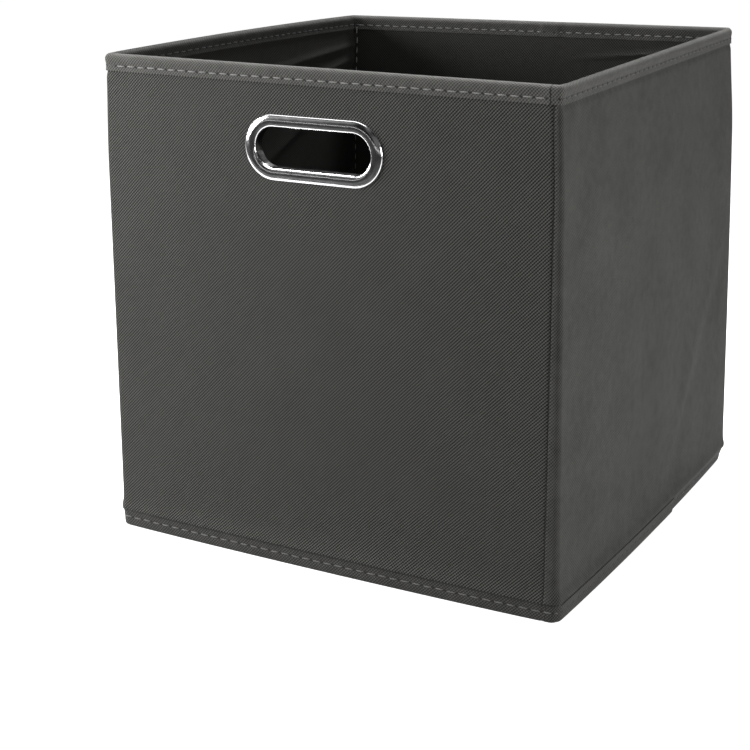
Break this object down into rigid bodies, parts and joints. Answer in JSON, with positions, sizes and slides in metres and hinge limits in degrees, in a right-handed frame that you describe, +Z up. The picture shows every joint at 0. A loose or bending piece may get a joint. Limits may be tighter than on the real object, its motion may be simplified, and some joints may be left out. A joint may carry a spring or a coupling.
{
  "type": "fabric storage bin",
  "caption": "Square open-topped fabric storage bin with bound rims, an oval metal grommet handle in front, soft folding sides and a loose base board.",
  "frame": {"origin": "centre of the underside, on the surface the bin stands on", "axes": "+Z up, the front wall with the handle faces -Y, +X to the right seen from the front"},
  "size_m": [0.315, 0.3167, 0.32],
  "materials": {
    "outer_fabric": "embossed non-woven, charcoal",
    "lining_fabric": "embossed non-woven, black",
    "binding_fabric": "folded non-woven strip, charcoal, with light grey running stitches",
    "cardboard": "plain",
    "chrome": "polished"
  },
  "bodies": {
    "front_wall": {"front_outer_panel": "outer_fabric", "front_stiffener": "cardboard", "front_lining": "lining_fabric", "front_rim_binding": "binding_fabric", "grommet_face_ring": "chrome", "grommet_back_ring": "chrome", "bottom_panel": "outer_fabric", "bottom_binding": "binding_fabric"},
    "left_front_panel": {"left_front_outer_panel": "outer_fabric", "left_front_lining": "lining_fabric", "left_front_rim_binding": "binding_fabric"},
    "left_rear_panel": {"left_rear_outer_panel": "outer_fabric", "left_rear_lining": "lining_fabric", "left_rear_rim_binding": "binding_fabric"},
    "back_wall": {"back_outer_panel": "outer_fabric", "back_stiffener": "cardboard", "back_lining": "lining_fabric", "back_rim_binding": "binding_fabric"},
    "right_front_panel": {"right_front_outer_panel": "outer_fabric", "right_front_lining": "lining_fabric", "right_front_rim_binding": "binding_fabric"},
    "right_rear_panel": {"right_rear_outer_panel": "outer_fabric", "right_rear_lining": "lining_fabric", "right_rear_rim_binding": "binding_fabric"},
    "base_board": {"base_board_cover": "lining_fabric", "base_board_core": "cardboard"}
  },
  "joints": [
    {"name": "left_front_fold", "type": "hinge", "parent": "front_wall", "child": "left_front_panel", "pos_m": [-0.15565, -0.1489, 0.16], "axis": [0, 0, -1], "range_deg": [0, 89.5], "deforming": ["bottom_panel", "bottom_binding"]},
    {"name": "left_rear_fold", "type": "hinge", "parent": "left_front_panel", "child": "left_rear_panel", "pos_m": [-0.1577, 0, 0.16], "axis": [0, 0, 1], "range_deg": [0, 179]},
    {"name": "back_wall_fold", "type": "hinge", "parent": "left_rear_panel", "child": "back_wall", "pos_m": [-0.15565, 0.1489, 0.16], "axis": [0, 0, -1], "range_deg": [0, 89.5]},
    {"name": "right_front_fold", "type": "hinge", "parent": "front_wall", "child": "right_front_panel", "pos_m": [0.15565, -0.1489, 0.16], "axis": [0, 0, 1], "range_deg": [0, 89.5]},
    {"name": "right_rear_fold", "type": "hinge", "parent": "right_front_panel", "child": "right_rear_panel", "pos_m": [0.1577, 0, 0.16], "axis": [0, 0, -1], "range_deg": [0, 179]},
    {"name": "base_board_lift", "type": "slide", "parent": "front_wall", "child": "base_board", "axis": [0, 0, 1], "range_m": [0, 0.34]}
  ],
  "couplings": [
    {"joint": "left_rear_fold", "follows": "left_front_fold", "ratio": 2},
    {"joint": "back_wall_fold", "follows": "left_front_fold", "ratio": 1},
    {"joint": "right_front_fold", "follows": "left_front_fold", "ratio": 1},
    {"joint": "right_rear_fold", "follows": "left_front_fold", "ratio": 2}
  ]
}
